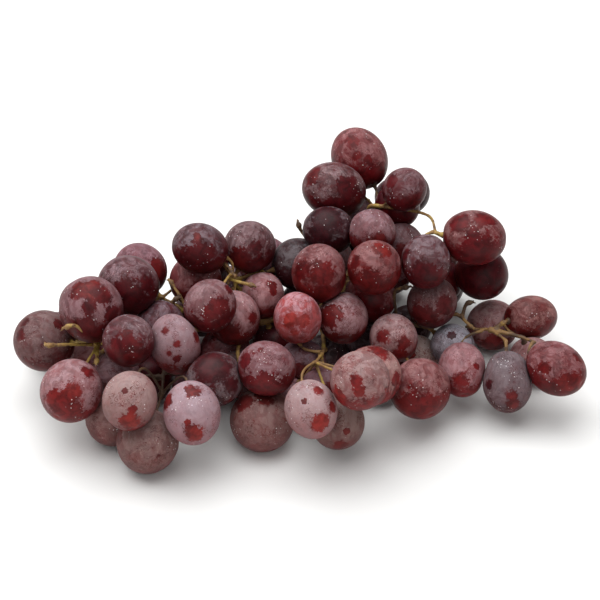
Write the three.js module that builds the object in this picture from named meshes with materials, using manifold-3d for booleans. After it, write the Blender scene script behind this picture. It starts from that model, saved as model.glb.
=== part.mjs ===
// Bunch of red table grapes lying on its side: one branching stem and its sprays of round berries.
// Millimetres, +Z up, resting on Z = 0. The side that shows best faces -Y and a little upward.
import * as THREE from "three";
import { mergeVertices } from "three/addons/utils/BufferGeometryUtils.js";
import Module from "manifold-3d";

const wasm = await Module();
wasm.setup();

// Berries
const BERRY_SIDES = 9; // sides round a berry's long axis
const HIDDEN_SIDES = 7; // the same on the berries behind and under the shown ones
const BERRY_BANDS = 5; // bands from the blossom end to the flat dimple at the stem end
const DIMPLE = 1.0; // depth of the flat dimple in a berry's stem end, where its stalk ends
const FACET_GAIN = 1.025; // makes a faceted berry as large on average as the round one
const PRESS = 1.6; // how far two neighbouring berries of a spray press into each other
const TOUCH = 0.6; // how far two shown berries of different sprays press into each other
const SPRAY_GAP = 0.8; // between a hidden berry and one of another spray
const FLAT = 0.6; // how far the lowest berries flatten on the table
const CLEARANCE = 0.3; // gap between pieces that touch
const MERGE_WITHIN = 1e-4; // corners this close are one
const ROUND_WITHIN = 0.6; // a berry counts as round when its half sizes differ by less
const MOST_DEPTH_LEAN = 0.5; // how far a long axis turns towards or away from the viewer
const HIDDEN_LENGTH = 1.05; // a hidden berry's half length, in radii
const HIDDEN_WIDTH = 0.975; // a hidden berry's half width, in radii

// Stem
const AXIS_RADIUS = 2.8; // main stem near its cut end
const TIP_RADIUS = 2.2; // main stem towards the tip of the bunch
const AXIS_SIDES = 6; // sides of both
const ARM_RADIUS = 1.9; // branch of a spray
const STALK_RADIUS = 1.3; // stalk of one berry
const STALK_SIDES = 3;
const STALK_STEPS = 2; // straight pieces of a shown berry's curved stalk
const STUB_RADIUS = 1.5; // bare stub that lost its berry
const TWIG_SIDES = 4; // sides of a branch or a stub
const NEAR_ROOT = 6; // a stub's first point is left out where its branch passes this near
const SHORTEST_STALK = 4; // a stalk is longer than this where its branch allows it
const ROOT_DEPTH = 0.9; // how deep a stalk's root is sunk in its branch
const BRANCH_STEP = 3; // distance between the points of a branch where a stalk may leave it
const CROSSING_COST = 6; // how many mm of detour a stalk takes to cross 1 mm less of another berry

// Slim core inside a spray, between two berries that don't press on each other
const STRUT_RADIUS = 3.5;
const STRUT_SIDES = 3;
const FUSED_WHEN = 1.0; // berries that overlap by more than this need no core

// Settling
const SETTLE_ROUNDS = 500;
const EASE = 0.3; // share of an overlap that one round takes out
const STEM_CHECKS = 4; // places on a branch, for each of its points, that hidden berries keep off

// The side that shows best is seen from this tilt and distance, aimed at the bunch's middle
const VIEW_TILT = THREE.MathUtils.degToRad(38);
const VIEW_DISTANCE = 1000;
const MIDDLE = new THREE.Vector3(0, 0, 45);
const AHEAD = new THREE.Vector3(0, Math.cos(VIEW_TILT), -Math.sin(VIEW_TILT));
const ACROSS = new THREE.Vector3(1, 0, 0);
const UPWARD = new THREE.Vector3(0, Math.sin(VIEW_TILT), Math.cos(VIEW_TILT));
const EYE = MIDDLE.clone().addScaledVector(AHEAD, -VIEW_DISTANCE);

// Moves the finished bunch so that its box stands centred on the origin
const CENTRING = new THREE.Vector3(0.4, -12, 0);

const SKIN = { color: 0x7a1f2b, roughness: 0.45, metalness: 0 };
const BARK = { color: 0x9a9150, roughness: 0.7, metalness: 0 };

// Middle line of the main stem, from its cut end to the tip of the bunch [x, y, z]
const MAIN_STEM = [
  [38, 88, 18], [34, 70, 26], [27, 50, 30], [20, 30, 28], [8, 17, 26],
  [-7, 12, 27], [-22, 10, 25], [-42, 5, 27], [-58, -5, 23], [-64, -7, 25],
];
const THICK_POINTS = 4; // of those points, the first ones are on the thick part

// Each spray: its branches [x, y, z] from the main stem outwards; the berries that the best side
// shows [across, up, nearer to the viewer, half length, half width, lean of the long axis in degrees];
// and the berries behind and under them [x, y, z, radius].
const SPRAYS = {
  left_tip: {
    arms: [[[-60, -6, 24], [-72, -8, 30], [-85, -14, 32]]],
    shown: [
      [-106.5, -17, -5, 13, 12.8, 90], [-87, -4, 10, 14, 13.5, 0], [-71.5, -17, 20, 11, 11, 0],
      [-95.3, -37.8, 20, 13.5, 13, 80],
    ],
    behind: [[-105, 17, 11, 11.5], [-90, 15, 30, 11.5], [-83, -3, 12, 11.5]],
  },
  left_front: {
    arms: [[[-56, -4, 23], [-57, -19, 20], [-57, -30, 18]]],
    shown: [
      [-52, -18.5, 10, 13, 10.5, 105], [-78, -49.5, 10, 11.5, 11.5, 0], [-71, -42, 35, 12.5, 11.5, 75],
      [-63.5, -59, 25, 13.5, 13, 0], [-45, -47, 35, 13.5, 12, 100],
    ],
    behind: [[-58, -13, 11, 11.5], [-76, -20, 22, 9.5]],
  },
  left_back: {
    arms: [[[-42, 5, 27], [-51, 14, 30], [-60, 19, 32]]],
    shown: [
      [-71.5, 6, -5, 13, 12.5, 0], [-66.6, 12.5, -25, 11.6, 11, -10], [-43.5, 8, -20, 11, 11, 0],
      [-41.5, 21.5, -5, 12, 10.5, -20], [-58.5, -10.5, -10, 10.5, 10.5, 0],
    ],
    behind: [
      [-85, 35, 11, 11.5], [-70, 20, 20, 11], [-50, 10, 11, 11.5], [-42, 44, 30, 11.5],
      [-40, 30, 15, 11],
    ],
  },
  middle_back: {
    arms: [[[-14, 11, 25], [-25, 22, 32], [-30, 22, 42]]],
    shown: [
      [-21, 22, -20, 11, 11, 0], [-1, 15, -25, 11, 11, 0], [-15.5, 2, -15, 10, 9, 90],
      [-37.5, -2.5, 10, 11.5, 11, 90], [-27.5, -7.5, -5, 11.5, 11, 0],
    ],
    behind: [
      [-5, 10, 11, 11], [-20, 30, 15, 11.5], [-15, 45, 30, 11.5], [-30, 50, 10, 11.5],
    ],
  },
  middle_front: {
    arms: [[[-22, 10, 25], [-26, -12, 26], [-23, -24, 25]]],
    shown: [
      [-35.5, -33, 15, 12, 11.5, 90], [-14, -28.5, 20, 12.5, 11.5, -15], [-15.7, -50, 10, 13.5, 13.5, 100],
    ],
    behind: [[-40, -15, 11, 11], [-18, -12, 11, 11], [-31, 3, 11, 11]],
  },
  centre_front: {
    arms: [[[8, 17, 26], [10, -2, 24], [9, -17, 30], [6, -27, 33]]],
    shown: [
      [4.5, -45.5, 35, 12.5, 11, 108], [15.4, -50.5, 20, 12, 11.5, 0], [25, -33.5, 35, 12.5, 12.5, 0],
      [30, -31.5, 10, 12.5, 12.5, 0], [-1, -7.5, 5, 11, 10, 95], [1, -26, -5, 10, 10, 0],
      [10.5, -36.5, 5, 10, 10, 0],
    ],
    behind: [[8, 8, 11, 11], [26, 12, 11, 10.5], [-4, -20, 11, 10.5]],
  },
  centre_top: {
    arms: [[[20, 30, 28], [19, 23, 36], [19, 19, 43]]],
    shown: [
      [8, 11, 0, 12.5, 11.5, 95], [31, 13.5, 0, 11.5, 11.5, 0], [18, -7.5, -5, 11, 10.5, 100],
      [29, 1, -20, 11, 11, 0], [12, 29, -20, 11, 10, -10], [30, 28, -15, 10, 10, 0],
    ],
    behind: [[0, 33, 21, 11.5], [25, 35, 15, 11.5], [10, 45, 30, 11.5]],
  },
  top: {
    arms: [[[30, 60, 28], [33, 58, 42], [33, 56, 51]]],
    shown: [
      [24.8, 59, -45, 13.5, 11.5, 118], [14.3, 45.8, -30, 13.5, 11.6, -12], [43.5, 46, -15, 9.5, 9, 110],
      [44.8, 44.4, -45, 9.5, 9, 0], [40.5, 39, -30, 9.5, 9.5, 0], [42.5, 23, -25, 9.5, 9, 0],
    ],
    behind: [
      [20, 65, 40, 11.5], [15, 60, 15, 11.5], [40, 60, 15, 11.5], [25, 80, 20, 11.5],
      [41, 77, 43, 8.2],
    ],
  },
  right_shoulder: {
    arms: [
      [[29, 55, 29], [30, 50, 50], [30, 46, 60], [38, 41, 63], [48, 37, 64], [55, 31, 65], [57, 22, 63]],
      [[27, 50, 30], [45, 46, 33], [60, 43, 39], [66, 38, 46]],
    ],
    shown: [
      [72.5, 26, -5, 13.5, 11.5, -5], [75.6, 11.2, -25, 11.5, 11, 90], [52.5, 16, 0, 11.5, 10.5, 90],
      [55, -1, -15, 11, 10.5, 90], [59, 8, -35, 9, 9, 0],
    ],
    behind: [[60, 55, 10, 11.5], [75, 50, 30, 11.5]],
  },
  right_front: {
    arms: [[[17, 27, 27], [34, 15, 20], [44, -3, 19]]],
    shown: [
      [39, -16, -5, 10.5, 10, -20], [48.5, -23.5, -25, 9.5, 9, 0], [50, -37, 5, 12.8, 12.8, 0],
      [45.5, -11, -40, 9.5, 9, 0],
    ],
    behind: [[35, -5, 11, 11]],
  },
  right_tip: {
    arms: [
      [[34, 15, 20], [46, 13, 22], [57, 11, 22], [66, 12, 28], [74, 7, 24], [80, 4, 26], [87, -5, 27]],
      [[80, 4, 26], [91, 0, 26], [99, -6, 27]],
    ],
    shown: [
      [67.5, -29, -10, 11.5, 10, 90], [86.5, -34, -5, 13, 10.5, 90], [106.6, -28.5, 0, 13, 11, -30],
      [96, -7.4, -30, 11.5, 9.3, 8], [80.3, -10.4, -40, 11, 10.5, 45], [96.5, -25, -25, 10, 9.5, 0],
      [63.5, -19, -20, 9.5, 9, 90],
    ],
    behind: [],
  },
};

// Bare stubs and twigs that show between the berries [across, up, nearer to the viewer]
const STUBS = [
  [[-83.5, -19, 5], [-95, -18.5, 10], [-105.5, -19, 14]],
  [[-88.5, -15, 18], [-94, -10.5, 23], [-97.8, -11.5, 23]],
  [[-86, -23, 5], [-84.8, -26, 12]],
  [[-58, -5, -12], [-51, 1, -10]],
  [[-48, -2, -12], [-54, 8, -14]],
  [[-32.5, 16.5, -12], [-28, 11, -8]],
  [[-28.5, 8.5, -10], [-19.5, 6, -7]],
  [[1, 28, -20], [-0.8, 32, -18]],
  [[40, 4, -12], [45, 5.5, -10]],
  [[67, -6, -18], [69.5, -1.5, -18], [71.5, -1, -17]],
  [[80, -12, -16], [85.5, -9, -14]],
];

const vector = ([x, y, z]) => new THREE.Vector3(x, y, z);

/** The place that is seen at (across, up) in the plane through the middle, but nearer to the viewer. */
function seenAt([across, up, near]) {
  const ray = AHEAD.clone();
  ray.addScaledVector(ACROSS, across / VIEW_DISTANCE);
  ray.addScaledVector(UPWARD, up / VIEW_DISTANCE);
  return EYE.clone().addScaledVector(ray, VIEW_DISTANCE - near);
}

/** All berries, before they settle. */
function placeBerries() {
  const berries = [];
  for (const [spray, { shown, behind }] of Object.entries(SPRAYS)) {
    for (const [across, up, near, halfLength, halfWidth, lean] of shown) {
      const size = (halfLength + 2 * halfWidth) / 3;
      berries.push({ spray, shown: true, across, up, near, size, halfLength, halfWidth, lean });
    }
    for (const [x, y, z, size] of behind) {
      berries.push({ spray, shown: false, centre: vector([x, y, z]), size });
    }
  }
  return berries;
}

/** Puts a shown berry on its line of sight; farther away it has to be larger to look the same. */
function slideToView(berry) {
  berry.centre = seenAt([berry.across, berry.up, berry.near]);
  berry.radius = (berry.size * (VIEW_DISTANCE - berry.near)) / VIEW_DISTANCE;
}

/** What two berries' sizes are short of, or over, how close they may stand. */
function closeness(one, other) {
  if (one.spray === other.spray) return -PRESS;
  return one.shown && other.shown ? -TOUCH : SPRAY_GAP;
}

/** Two shown berries slide apart along the line of sight, in their order from front to back. */
function partShown(front, back) {
  const reach = front.size + back.size + closeness(front, back);
  const side = Math.hypot(front.across - back.across, front.up - back.up);
  if (side >= reach) return;
  const crowding = Math.sqrt(reach * reach - side * side) - (front.near - back.near);
  if (crowding <= 0) return;
  front.push += (crowding * EASE) / 2;
  back.push -= (crowding * EASE) / 2;
}

/** A hidden berry moves out of another berry or off the stem; a hidden neighbour takes half. */
function partHidden(berry, centre, reach, share) {
  const away = berry.centre.clone().sub(centre);
  const crowding = reach - away.length();
  if (crowding > 0) berry.shift.addScaledVector(away.normalize(), crowding * share);
}

/** Points along the middle lines of the main stem and the branches, which hidden berries keep off. */
function stemPoints() {
  const lines = [MAIN_STEM, ...Object.values(SPRAYS).flatMap(({ arms }) => arms)];
  return lines.flatMap((line) => curveOf(line).getSpacedPoints(line.length * STEM_CHECKS));
}

/** Crowded berries slide apart until each has room, none below the table. */
function settle(berries) {
  const shown = berries.filter((berry) => berry.shown);
  const hidden = berries.filter((berry) => !berry.shown);
  const stem = stemPoints();
  shown.sort((a, b) => b.near - a.near);
  for (const berry of hidden) berry.radius = berry.size;
  for (let round = 0; round < SETTLE_ROUNDS; round += 1) {
    for (const berry of shown) {
      berry.push = 0;
      slideToView(berry);
    }
    for (const berry of hidden) berry.shift = new THREE.Vector3();
    shown.forEach((front, i) => shown.slice(i + 1).forEach((back) => partShown(front, back)));
    hidden.forEach((berry, i) => {
      for (const other of shown) {
        partHidden(berry, other.centre, berry.radius + other.radius + closeness(berry, other), EASE);
      }
      hidden.forEach((other, j) => {
        const reach = berry.radius + other.radius + closeness(berry, other);
        if (i !== j) partHidden(berry, other.centre, reach, EASE / 2);
      });
      for (const point of stem) partHidden(berry, point, berry.radius + ARM_RADIUS, EASE / 2);
    });
    for (const berry of shown) {
      const sunk = berry.radius - FLAT - berry.centre.z;
      berry.near += berry.push + Math.max(sunk, 0) / Math.sin(VIEW_TILT);
    }
    for (const berry of hidden) {
      berry.centre.add(berry.shift);
      berry.centre.z = Math.max(berry.centre.z, berry.radius - FLAT);
    }
  }
  shown.forEach(slideToView);
}

const curveOf = (points) => new THREE.CatmullRomCurve3(points.map(vector), false, "centripetal");

/** Points on the straight pieces of a branch's rod. */
function rodPoints(arm) {
  const corners = curveOf(arm).getSpacedPoints(arm.length);
  return corners.slice(1).flatMap((end, i) => {
    const start = corners[i];
    const count = Math.ceil(start.distanceTo(end) / BRANCH_STEP);
    return Array.from({ length: count }, (_, k) => start.clone().lerp(end, (k + 0.5) / count));
  });
}

/** How deep a straight stalk from root to berry would run through the other berries. */
function crossing(root, berry, berries) {
  const end = berry.centre.clone().sub(root);
  end.setLength(end.length() - berry.radius);
  const path = new THREE.Line3(root, end.add(root));
  const nearest = new THREE.Vector3();
  let depth = 0;
  for (const other of berries) {
    if (other === berry) continue;
    path.closestPointToPoint(other.centre, true, nearest);
    depth += Math.max(other.radius + STALK_RADIUS - nearest.distanceTo(other.centre), 0);
  }
  return depth;
}

/** Where a berry's stalk leaves its spray's branches: near the berry, with a clear way to it. */
function findBranchPoint(berry, berries) {
  let best = { cost: Infinity };
  for (const arm of SPRAYS[berry.spray].arms) {
    for (const point of rodPoints(arm)) {
      const distance = point.distanceTo(berry.centre);
      const shortage = Math.max(berry.radius + SHORTEST_STALK - distance, 0);
      const cost = distance + CROSSING_COST * (crossing(point, berry, berries) + shortage);
      if (cost < best.cost) best = { cost, point };
    }
  }
  return best.point;
}

/** Turns a berry's stem end towards its branch and works out its true half sizes. */
function orient(berry, berries) {
  berry.branch = findBranchPoint(berry, berries);
  const towards = berry.branch.clone().sub(berry.centre).normalize();
  if (!berry.shown) {
    berry.axis = towards;
    berry.halfLength = berry.radius * HIDDEN_LENGTH;
    berry.halfWidth = berry.radius * HIDDEN_WIDTH;
    return;
  }
  const scale = (VIEW_DISTANCE - berry.near) / VIEW_DISTANCE;
  const seenLength = berry.halfLength * scale;
  const seenWidth = berry.halfWidth * scale;
  const depth = THREE.MathUtils.clamp(towards.dot(AHEAD), -MOST_DEPTH_LEAN, MOST_DEPTH_LEAN);
  const lean = THREE.MathUtils.degToRad(berry.lean);
  const flat = ACROSS.clone().multiplyScalar(Math.cos(lean)).addScaledVector(UPWARD, Math.sin(lean));
  if (berry.halfLength - berry.halfWidth < ROUND_WITHIN) {
    flat.copy(towards).addScaledVector(AHEAD, -towards.dot(AHEAD)).normalize();
  }
  if (flat.dot(towards) < 0) flat.negate();
  const level = Math.sqrt(1 - depth * depth);
  berry.axis = flat.multiplyScalar(level).addScaledVector(AHEAD, depth);
  berry.halfLength = Math.sqrt(seenLength ** 2 - (seenWidth * depth) ** 2) / level;
  berry.halfWidth = seenWidth;
}

/** How far a berry reaches from its centre in a direction. */
function reachAlong(berry, direction) {
  const along = berry.axis.dot(direction);
  const aside = Math.sqrt(Math.max(1 - along * along, 0));
  return Math.hypot(berry.halfLength * along, berry.halfWidth * aside);
}

/** A closed solid of a geometry whose shared corners are merged. */
function solidOf(geometry) {
  const bare = geometry.clone();
  bare.deleteAttribute("normal");
  bare.deleteAttribute("uv");
  const merged = mergeVertices(bare, MERGE_WITHIN);
  return new wasm.Manifold(
    new wasm.Mesh({
      numProp: 3,
      vertProperties: new Float32Array(merged.attributes.position.array),
      triVerts: new Uint32Array(merged.index.array),
    }),
  );
}

const joinAll = (solids) => solids.reduce((whole, solid) => whole.add(solid));

/** Cuts a solid square across, keeping the side that the direction points away from. */
function cutBeyond(solid, direction, distance) {
  return solid.trimByPlane([-direction.x, -direction.y, -direction.z], -distance);
}

/** A section with straight sides, extruded along a curve. */
function extrude(curve, radius, steps, sides) {
  const section = new THREE.Shape();
  for (let i = 0; i < sides; i += 1) {
    const angle = (2 * Math.PI * i) / sides;
    const corner = [radius * Math.cos(angle), radius * Math.sin(angle)];
    if (i === 0) section.moveTo(...corner);
    else section.lineTo(...corner);
  }
  return solidOf(new THREE.ExtrudeGeometry(section, { steps, extrudePath: curve, bevelEnabled: false }));
}

/** A rod along a curve, thicker by extra all round; without extra it ends short of the room for it. */
function rod(curve, slimRadius, extra, steps, sides) {
  const solid = extrude(curve, slimRadius + extra / Math.cos(Math.PI / sides), steps, sides);
  if (extra > 0) return solid;
  const along = curve.getTangent(1);
  return cutBeyond(solid, along, curve.getPoint(1).dot(along) - CLEARANCE);
}

/** The stalk of one berry: it leaves its branch, curves, and meets the berry's stem end squarely. */
function stalk(berry, extra) {
  const mouth = berry.halfLength * FACET_GAIN - DIMPLE;
  const end = berry.centre.clone().addScaledVector(berry.axis, mouth + CLEARANCE);
  const bend = end.clone().addScaledVector(berry.axis, end.distanceTo(berry.branch) / 3);
  const outwards = bend.clone().sub(berry.branch).normalize();
  const root = berry.branch.clone().addScaledVector(outwards, ARM_RADIUS - ROOT_DEPTH);
  const radius = STALK_RADIUS + extra / Math.cos(Math.PI / STALK_SIDES);
  if (!berry.shown) return extrude(new THREE.LineCurve3(root, end), radius, 1, STALK_SIDES);
  const curve = new THREE.QuadraticBezierCurve3(root, bend, end);
  return extrude(curve, radius, STALK_STEPS, STALK_SIDES);
}

/** A bare stub, from the nearest point of the branches to its end. */
function stub(points, roots, extra) {
  const places = points.map(seenAt);
  const root = roots.reduce((best, point) =>
    point.distanceTo(places[0]) < best.distanceTo(places[0]) ? point : best,
  );
  if (root.distanceTo(places[0]) < NEAR_ROOT) places.shift();
  const curve = new THREE.CatmullRomCurve3([root, ...places], false, "centripetal");
  return rod(curve, STUB_RADIUS, extra, places.length, TWIG_SIDES);
}

/** The whole branching stem, grown by extra all round where room for it is cut. */
function buildStem(berries, extra) {
  const thick = MAIN_STEM.slice(0, THICK_POINTS);
  const slim = MAIN_STEM.slice(THICK_POINTS - 1);
  const rods = [
    rod(curveOf(thick), AXIS_RADIUS, extra, thick.length, AXIS_SIDES),
    rod(curveOf(slim), TIP_RADIUS, extra, slim.length, AXIS_SIDES),
  ];
  for (const { arms } of Object.values(SPRAYS)) {
    for (const arm of arms) rods.push(rod(curveOf(arm), ARM_RADIUS, extra, arm.length, TWIG_SIDES));
  }
  for (const berry of berries) rods.push(stalk(berry, extra));
  const roots = Object.values(SPRAYS).flatMap(({ arms }) => arms.flatMap(rodPoints));
  for (const points of STUBS) rods.push(stub(points, roots, extra));
  return joinAll(rods);
}

/** A faceted berry along +Y, with its flat dimple at the top. */
function berryGeometry(halfLength, halfWidth, sides) {
  const rim = Math.asin(1 - DIMPLE / halfLength);
  const profile = [];
  for (let band = 0; band <= BERRY_BANDS; band += 1) {
    const angle = -Math.PI / 2 + ((rim + Math.PI / 2) * band) / BERRY_BANDS;
    const width = band === 0 ? 0 : halfWidth * Math.cos(angle);
    profile.push(new THREE.Vector2(width, halfLength * Math.sin(angle)));
  }
  profile.push(new THREE.Vector2(0, halfLength - DIMPLE));
  return new THREE.LatheGeometry(profile, sides);
}

/** One berry, flattened where berries of other sprays press on it. */
function buildBerry(berry, berries) {
  const sides = berry.shown ? BERRY_SIDES : HIDDEN_SIDES;
  const geometry = berryGeometry(berry.halfLength * FACET_GAIN, berry.halfWidth * FACET_GAIN, sides);
  const turn = new THREE.Quaternion().setFromUnitVectors(new THREE.Vector3(0, 1, 0), berry.axis);
  geometry.applyQuaternion(turn);
  geometry.translate(...berry.centre);
  let solid = solidOf(geometry);
  for (const other of berries) {
    if (other.spray === berry.spray) continue;
    const towards = other.centre.clone().sub(berry.centre);
    const distance = towards.length();
    towards.normalize();
    const own = reachAlong(berry, towards) * FACET_GAIN;
    const theirs = reachAlong(other, towards) * FACET_GAIN;
    if (own + theirs + CLEARANCE < distance) continue;
    const contact = (distance + own - theirs - CLEARANCE) / 2;
    solid = cutBeyond(solid, towards, berry.centre.dot(towards) + contact);
  }
  return solid;
}

/** The slim core: short struts that link up the berries of one spray. */
function buildCore(members) {
  const linked = [members[0]];
  const loose = members.slice(1);
  const struts = [];
  while (loose.length > 0) {
    let best = { gap: Infinity };
    for (const from of linked) {
      for (const to of loose) {
        const towards = to.centre.clone().sub(from.centre);
        const distance = towards.length();
        towards.normalize();
        const gap = distance - reachAlong(from, towards) - reachAlong(to, towards);
        if (gap < best.gap) best = { gap, from, to };
      }
    }
    linked.push(best.to);
    loose.splice(loose.indexOf(best.to), 1);
    if (best.gap > -FUSED_WHEN) {
      const line = new THREE.LineCurve3(best.from.centre, best.to.centre);
      struts.push(extrude(line, STRUT_RADIUS, 1, STRUT_SIDES));
    }
  }
  return struts;
}

/** The largest closed shell of a solid: sealed hollows are filled and loose scraps are dropped. */
function largestShell(solid) {
  const { vertProperties, triVerts } = solid.getMesh();
  const parent = Array.from({ length: vertProperties.length / 3 }, (_, i) => i);
  const find = (i) => {
    while (parent[i] !== i) {
      parent[i] = parent[parent[i]];
      i = parent[i];
    }
    return i;
  };
  for (let t = 0; t < triVerts.length; t += 3) {
    parent[find(triVerts[t])] = find(triVerts[t + 1]);
    parent[find(triVerts[t + 2])] = find(triVerts[t + 1]);
  }
  const shells = new Map();
  for (let t = 0; t < triVerts.length; t += 3) {
    const root = find(triVerts[t]);
    const shell = shells.get(root) ?? { volume: 0, index: [] };
    const [a, b, c] = [0, 1, 2].map((k) => {
      const corner = triVerts[t + k];
      return new THREE.Vector3().fromArray(vertProperties, corner * 3);
    });
    shell.volume += a.dot(b.cross(c));
    shell.index.push(triVerts[t], triVerts[t + 1], triVerts[t + 2]);
    shells.set(root, shell);
  }
  const [largest] = [...shells.values()].sort((a, b) => b.volume - a.volume);
  const geometry = new THREE.BufferGeometry();
  geometry.setAttribute("position", new THREE.BufferAttribute(new Float32Array(vertProperties), 3));
  geometry.setIndex(largest.index);
  return geometry;
}

/** A named mesh of a solid, cut level with the table. */
function meshOf(name, solid, finish) {
  const level = cutBeyond(solid, new THREE.Vector3(0, 0, -1), 0);
  const geometry = largestShell(level);
  geometry.computeVertexNormals();
  const mesh = new THREE.Mesh(geometry, new THREE.MeshStandardMaterial(finish));
  mesh.name = name;
  mesh.position.copy(CENTRING);
  return mesh;
}

/** The berries of one spray, pressed together, with sockets for their stalks. */
function buildSpray(name, berries, room) {
  const members = berries.filter((berry) => berry.spray === name);
  const flesh = joinAll(members.map((berry) => buildBerry(berry, berries)));
  return joinAll([flesh, ...buildCore(members)]).subtract(room);
}

const berries = placeBerries();
settle(berries);
for (const berry of berries) orient(berry, berries);
const room = buildStem(berries, CLEARANCE);
const bunch = new THREE.Group();
bunch.add(meshOf("stem", buildStem(berries, 0), BARK));
for (const name of Object.keys(SPRAYS)) {
  bunch.add(meshOf(`berries_${name}`, buildSpray(name, berries, room), SKIN));
}

export default bunch;
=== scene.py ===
"""A bunch of red table grapes on its side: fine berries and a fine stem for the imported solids.

The layout repeats the source of the solids, in millimetres; meshes are made in metres, +Z up.
"""
import math

import bpy
import numpy as np
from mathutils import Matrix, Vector, kdtree


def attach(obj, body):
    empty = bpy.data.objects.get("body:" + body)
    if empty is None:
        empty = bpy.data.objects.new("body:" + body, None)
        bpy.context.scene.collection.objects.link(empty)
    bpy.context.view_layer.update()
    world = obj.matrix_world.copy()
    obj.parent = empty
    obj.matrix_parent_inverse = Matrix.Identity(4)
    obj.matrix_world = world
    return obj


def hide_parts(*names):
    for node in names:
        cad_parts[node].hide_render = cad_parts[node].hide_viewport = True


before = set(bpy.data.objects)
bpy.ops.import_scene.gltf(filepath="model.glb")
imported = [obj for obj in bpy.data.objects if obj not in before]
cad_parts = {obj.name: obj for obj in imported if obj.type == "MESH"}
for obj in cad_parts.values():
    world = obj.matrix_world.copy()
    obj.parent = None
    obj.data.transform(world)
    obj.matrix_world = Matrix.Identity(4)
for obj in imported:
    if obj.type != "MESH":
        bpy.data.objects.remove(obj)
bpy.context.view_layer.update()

MM = 0.001
SEED = 11

# How the berries lie together, as in the solids
PRESS = 1.6  # how far two neighbouring berries of a spray press into each other
TOUCH = 0.6  # the same for two shown berries of different sprays
SPRAY_GAP = 0.8  # between a hidden berry and one of another spray
FLAT = 0.6  # how far the lowest berries flatten on the table
CLEARANCE = 0.3  # between a stalk's end and its berry
DIMPLE = 1.0  # how deep a berry's stem end is drawn in
FACET_GAIN = 1.025  # the solids' berries are this much larger, because they are faceted
ROUND_WITHIN = 0.6  # a berry this close to round turns its stem end straight to its branch
MOST_DEPTH_LEAN = 0.5  # how far a shown berry's long axis may lean into the depth
HIDDEN_LENGTH = 1.05  # a hidden berry's half length, in its radius
HIDDEN_WIDTH = 0.975  # and its half width
SETTLE_ROUNDS = 500
EASE = 0.3  # the share of a crowding that one round takes away
STEM_POINTS = 4  # points on the stem for each of its corners that berries keep clear of

# The stem, as in the solids
AXIS_RADIUS = 2.8
ARM_RADIUS = 1.9
STALK_RADIUS = 1.3
NEAR_ROOT = 6  # a stub that starts this near to a branch starts on it
SHORTEST_STALK = 4
ROOT_DEPTH = 0.9  # how deep a stalk's root sits in its branch
BRANCH_STEP = 3  # between the places on a branch where a stalk may start
CROSSING_COST = 6  # how much a stalk shuns other berries, against its own length
STALK_BEND = 3  # a stalk leaves its berry straight for one part in three of its length

# The photograph's view: its tilt, its distance and the point that it is aimed at
VIEW_TILT = math.radians(38)
VIEW_DISTANCE = 1000
MIDDLE = np.array([0.0, 0.0, 45.0])
AHEAD = np.array([0.0, math.cos(VIEW_TILT), -math.sin(VIEW_TILT)])
ACROSS = np.array([1.0, 0.0, 0.0])
UPWARD = np.array([0.0, math.sin(VIEW_TILT), math.cos(VIEW_TILT)])
EYE = MIDDLE - VIEW_DISTANCE * AHEAD
CENTRING = np.array([0.4, -12.0, 0.0])  # moves the settled bunch over the origin

# Curves
CURVE_SAMPLES = 201
FEWEST_PIECES = 4
FEWEST_STALK_PIECES = 5
NEARLY_UPRIGHT = 0.9

# Fine berries
BERRY_SIDES = 56
BERRY_RINGS = 44
RING_BUNCHING = 0.06  # how much the rings draw together at the ends and the waist
LUMP = 0.012  # how uneven a berry is, as a share of its radius
LUMP_PITCHES = (1.6, 2.3, 3.4)
DIMPLE_WIDTH = 2.6
BLOSSOM_DIMPLE = 0.35  # how deep the other end is drawn in
BLOSSOM_WIDTH = 1.2
CONTACT_GAP = 0.04
CONTACT_SOFTNESS = 0.45  # how softly a flat's edge is rounded
SOFT_REACH = 6  # how many times that softness the rounding reaches
NEARBY = 1  # berries further apart than this leave each other's shape alone
TABLE_GAP = 0.02
TABLE_SOFTNESS = 0.15
PATTERN_RANGE = 400  # each berry's pattern starts somewhere else within this range

# Fine stem
TUBE_SIDES = 10
TUBE_STEP = 0.8
END_BULGE = 0.6  # how far a tube's end bulges, in its radius
KNOBS = ((0.05, 0.9), (0.04, 2.3))  # waves along a tube: their share of its radius, and their pitch
MAIN_TAPER = (AXIS_RADIUS, 2.5, 1.9)  # the main stem's radius at its root, at its shoulder and end
MAIN_SHOULDER = 0.35  # how far along that shoulder is
MAIN_BROWN = 0.55
ARM_TAPER = (1.5, 1.0, 0.62)  # the same three radii of a branch
ARM_SHOULDER = 0.3
STALK_WAIST = 0.62  # a stalk's radius where it is slim
STALK_SWELL, STALK_SWELL_REACH = 0.45, 1.5  # how much thicker its root is, and how far up
PAD_SWELL, PAD_REACH = 1.1, 1.4  # the same for the pad that holds the berry
PAD_DEPTH = 0.25  # how deep the pad sits in the berry's dimple
STALK_TINTS = (-0.1, 0.25)  # how much browner than its spray a stalk is, from and to
STUB_WAIST = 0.75
STUB_SWELL, STUB_SWELL_REACH = 0.4, 2
STUB_KNOB = 0.6  # how much thicker a stub's knob is
KNOB_FROM_END = 1.0
THREADS = 5  # torn threads at a stub's end
THREAD_CORNERS = 5
THREAD_FRAY = 0.35
THREAD_LENGTHS = (1.2, 2.6)
THREAD_RADII = (0.4, 0.25)
WART_SIDES = 8
WART_RINGS = 5
WART_SPAN = 0.8  # how much of a wart's ball its rings cover
WART_SEAT = 0.85  # how far out of a branch's middle its warts sit, in its radius
SKIN_VOXEL = 0.44  # the stem's tubes are fused into one skin at this step

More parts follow.
